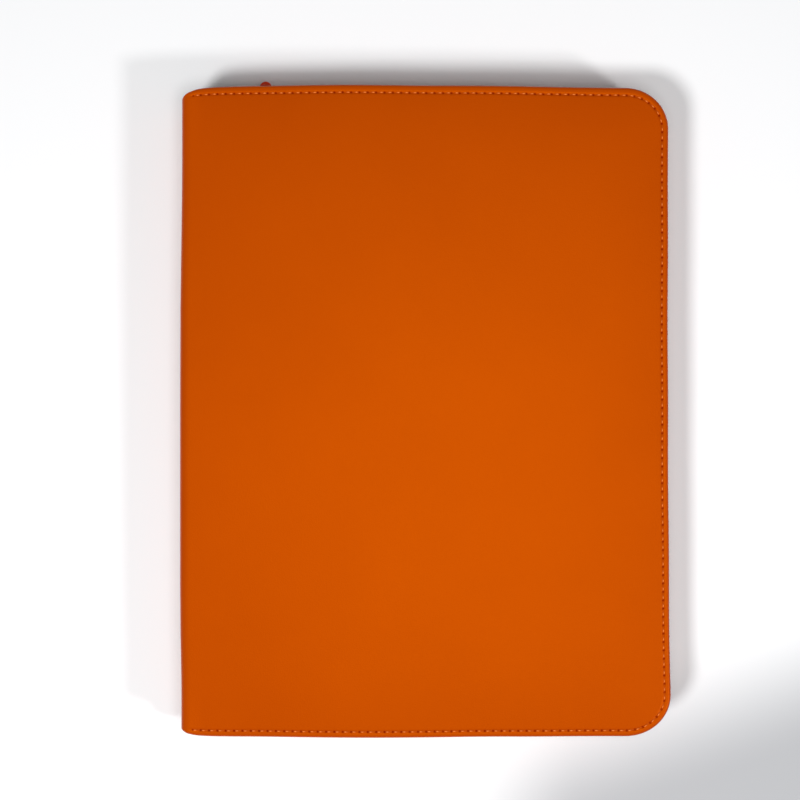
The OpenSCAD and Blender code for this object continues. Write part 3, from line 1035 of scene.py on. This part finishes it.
def pocket_strips():
    """The films of a leaf round z = 0: three strips a side, welded in a grid and a bit puffed."""
    low, high = (np.array(v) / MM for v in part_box("page_01_pockets"))
    sheet_low, sheet_high = (np.array(v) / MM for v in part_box("page_01_sheet"))
    core = (sheet_high[2] - sheet_low[2]) / 2
    thick = (high[2] - low[2]) / 2 - core
    mouth = 1.0
    pitch = (high[0] - low[0] + mouth) / 3
    weld = 2.0
    rows = 3
    tall = 2 * high[1] / rows
    u = np.array([0, weld, weld + 0.8, weld + 2.5, weld + 7, 20, 35, 50, 62, 67, 69.5, pitch - mouth])
    one = np.array([0, weld, weld + 0.8, weld + 2.5, weld + 7, 24, tall / 2])
    pocket = np.concatenate([one, tall - one[-2::-1]])[:-1]
    v = np.concatenate([pocket + i * tall for i in range(rows)] + [[rows * tall]])
    cell = np.minimum(v % tall, tall - v % tall)
    fu = ease(u, weld, weld + 9) * (1 - 0.35 * ease(u, 45, pitch - mouth))
    fv = ease(cell, weld, weld + 9)
    puff = 0.06 * fu[:, None] * fv[None]
    welded = np.maximum((u <= weld)[:, None], (cell <= weld)[None]).astype(float)
    parts = []
    for column in range(3):
        for way in (1, -1):
            x = low[0] + column * pitch + u
            xx = np.broadcast_to(x[:, None], puff.shape)
            yy = np.broadcast_to(v[None] - high[1], puff.shape)
            inner = np.stack([xx, yy, way * (core + 0.02 + puff)], -1)
            outer = np.stack([xx, yy, way * (core + 0.01 + thick + puff)], -1)
            parts.append((outer, inner, welded))
    return parts


def join(objects, name):
    """One mesh made of several fresh objects, which are removed."""
    work = bmesh.new()
    for o in objects:
        work.from_mesh(o.data)
    mesh = bpy.data.meshes.new(name)
    work.to_mesh(mesh)
    work.free()
    for m in objects[0].data.materials:
        mesh.materials.append(m)
    for o in objects:
        old = o.data
        bpy.data.objects.remove(o)
        bpy.data.meshes.remove(old)
    return mesh


def build_leaves():
    """Every leaf: its core and its films, which all share one mesh."""
    strips = []
    for i, (top, bottom, welded) in enumerate(pocket_strips()):
        strips.append(slab(f"strip_{i}", top, bottom, MAT_FILM, {"weld": welded}))
    films = join(strips, "pocket_films")
    for k in range(LEAVES):
        number = f"{k + 1:02d}"
        body = f"page_{number}"
        low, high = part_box(body + "_sheet")
        obj = bpy.data.objects.new(f"{body}_films", films)
        bpy.context.scene.collection.objects.link(obj)
        obj.location.z = (low[2] + high[2]) / 2
        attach(obj, body)
        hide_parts(body + "_pockets")
        build_sheet(k, number)


# ---- Spine board and the CAD nodes that stay ----


def build_spine_board():
    """The stiff board in the spine, with its ends inside the skin's turned ends."""
    low, high = (np.array(v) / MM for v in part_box("spine_board"))
    end_in = 3.0
    low[1] += end_in
    high[1] -= end_in
    obj = rounded_box("spine_stiffener", low, high, 0.2, MAT_BOARD)
    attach(obj, "spine")
    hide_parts("spine_board")


def finish_node(name, mat, radius=0.0):
    """A CAD node keeps its shape and gets a finish, and rounded edges where it shows."""
    obj = frame["nodes"][name]
    obj.data.materials.clear()
    obj.data.materials.append(mat)
    if radius:
        weld = obj.modifiers.new("Weld", "WELD")
        weld.merge_threshold = 0.00001
        bevel = obj.modifiers.new("Bevel", "BEVEL")
        bevel.width = radius * MM
        bevel.segments = 3
        bevel.limit_method = "ANGLE"
        bevel.angle_limit = math.radians(40)


def build_object():
    """Every visible piece of the binder."""
    for cover, upper in (("back", False), ("front", True)):
        build_skin(cover, upper)
        build_foam(cover, upper)
        build_lining(cover, upper)
        build_stitches(cover, upper, inner=False)
        build_stitches(cover, upper, inner=True)
        build_tape(cover, upper)
        build_teeth(cover, upper)
        finish_node(cover + "_board", MAT_BOARD)
    build_crown()
    build_pull()
    finish_node("slider_body", MAT_ENAMEL, 0.22)
    finish_node("zip_tail_tab", MAT_TAB, 0.5)
    build_spine_board()
    finish_node("page_binding_bar", MAT_BINDING, 0.12)
    build_leaves()


# ---- Floor, lights and camera ----


FLOOR_PALE = (0.85, 0.855, 0.865)
# The grey of a painted shadow in the floor's corner beyond the tail and fore edge.
FLOOR_SHADOW = (0.435, 0.44, 0.455)


def floor():
    """Pale paper with a soft painted shadow in the corner beyond the tail and the fore edge."""
    half = 4000
    points = np.array([[-half, -half, 0], [half, -half, 0], [half, half, 0], [-half, half, 0]], float)
    obj = make("floor", points, np.array([[0, 1, 2, 3]]))
    mat, tree, bsdf = shader("floor_paper", (0.9, 0.9, 0.9), 0.9, Specular_IOR_Level=0.1)
    parts = node(tree, "ShaderNodeSeparateXYZ", Vector=object_place(tree))
    x, y = parts.outputs["X"], parts.outputs["Y"]
    slanted = mathed(tree, "SUBTRACT", mathed(tree, "MULTIPLY", x, 0.35), y)
    past_tail = ranged(tree, slanted, 0.175, 0.262, 0, 1, smooth=True)
    past_middle = ranged(tree, x, 0, 0.09, 0, 1, smooth=True)
    # Painted shadow: the mask of the grey corner beyond the tail and fore edge.
    both = mathed(tree, "MULTIPLY", past_tail, past_middle)
    colour = mixed(tree, both, (*FLOOR_PALE, 1), (*FLOOR_SHADOW, 1))
    tree.links.new(colour, bsdf.inputs["Base Color"])
    obj.data.materials.append(mat)


def area_light(name, place, target, size, power):
    """A round soft light that faces its target."""
    light = bpy.data.lights.new(name, "AREA")
    light.shape = "DISK"
    light.size = size
    light.energy = power
    obj = bpy.data.objects.new(name, light)
    bpy.context.scene.collection.objects.link(obj)
    obj.location = place
    aim = np.array(target, float) - np.array(place, float)
    obj.rotation_euler = Vector(aim).to_track_quat("-Z", "Y").to_euler()
    return obj


def studio():
    """A dim white surround, two keys that cast the shadows, and a box that lights the cover."""
    world = bpy.data.worlds.new("studio")
    world.use_nodes = True
    background = world.node_tree.nodes["Background"]
    background.inputs["Color"].default_value = (1, 1, 1, 1)
    background.inputs["Strength"].default_value = 0.15
    bpy.context.scene.world = world
    key = area_light("key", (-0.77, -0.62, 1.7), (0, 0, 0), 0.42, 25)
    key.visible_glossy = False
    area_light("right_key", (1.14, -0.64, 1.2), (0, 0, 0), 0.27, 11)
    area_light("top_box", (0.06, -0.07, 1.1), (0.02, -0.03, 0), 0.4, 4.0)


# The camera looks straight down, this far above the cover, and sees this width there.
CAMERA_UP = 1.0
CAMERA_WIDTH = 0.4293
CAMERA_X = -0.0129
CAMERA_Y = 0.0065


def camera():
    """A camera straight above the closed case, as in the photograph."""
    data = bpy.data.cameras.new("camera")
    data.sensor_width = 36
    data.lens = data.sensor_width * CAMERA_UP / CAMERA_WIDTH
    obj = bpy.data.objects.new("camera", data)
    bpy.context.scene.collection.objects.link(obj)
    obj.location = (CAMERA_X, CAMERA_Y, CASE_T * MM + CAMERA_UP)
    bpy.context.scene.camera = obj
    bpy.context.scene.view_settings.view_transform = "Standard"


build_object()
floor()
studio()
camera()
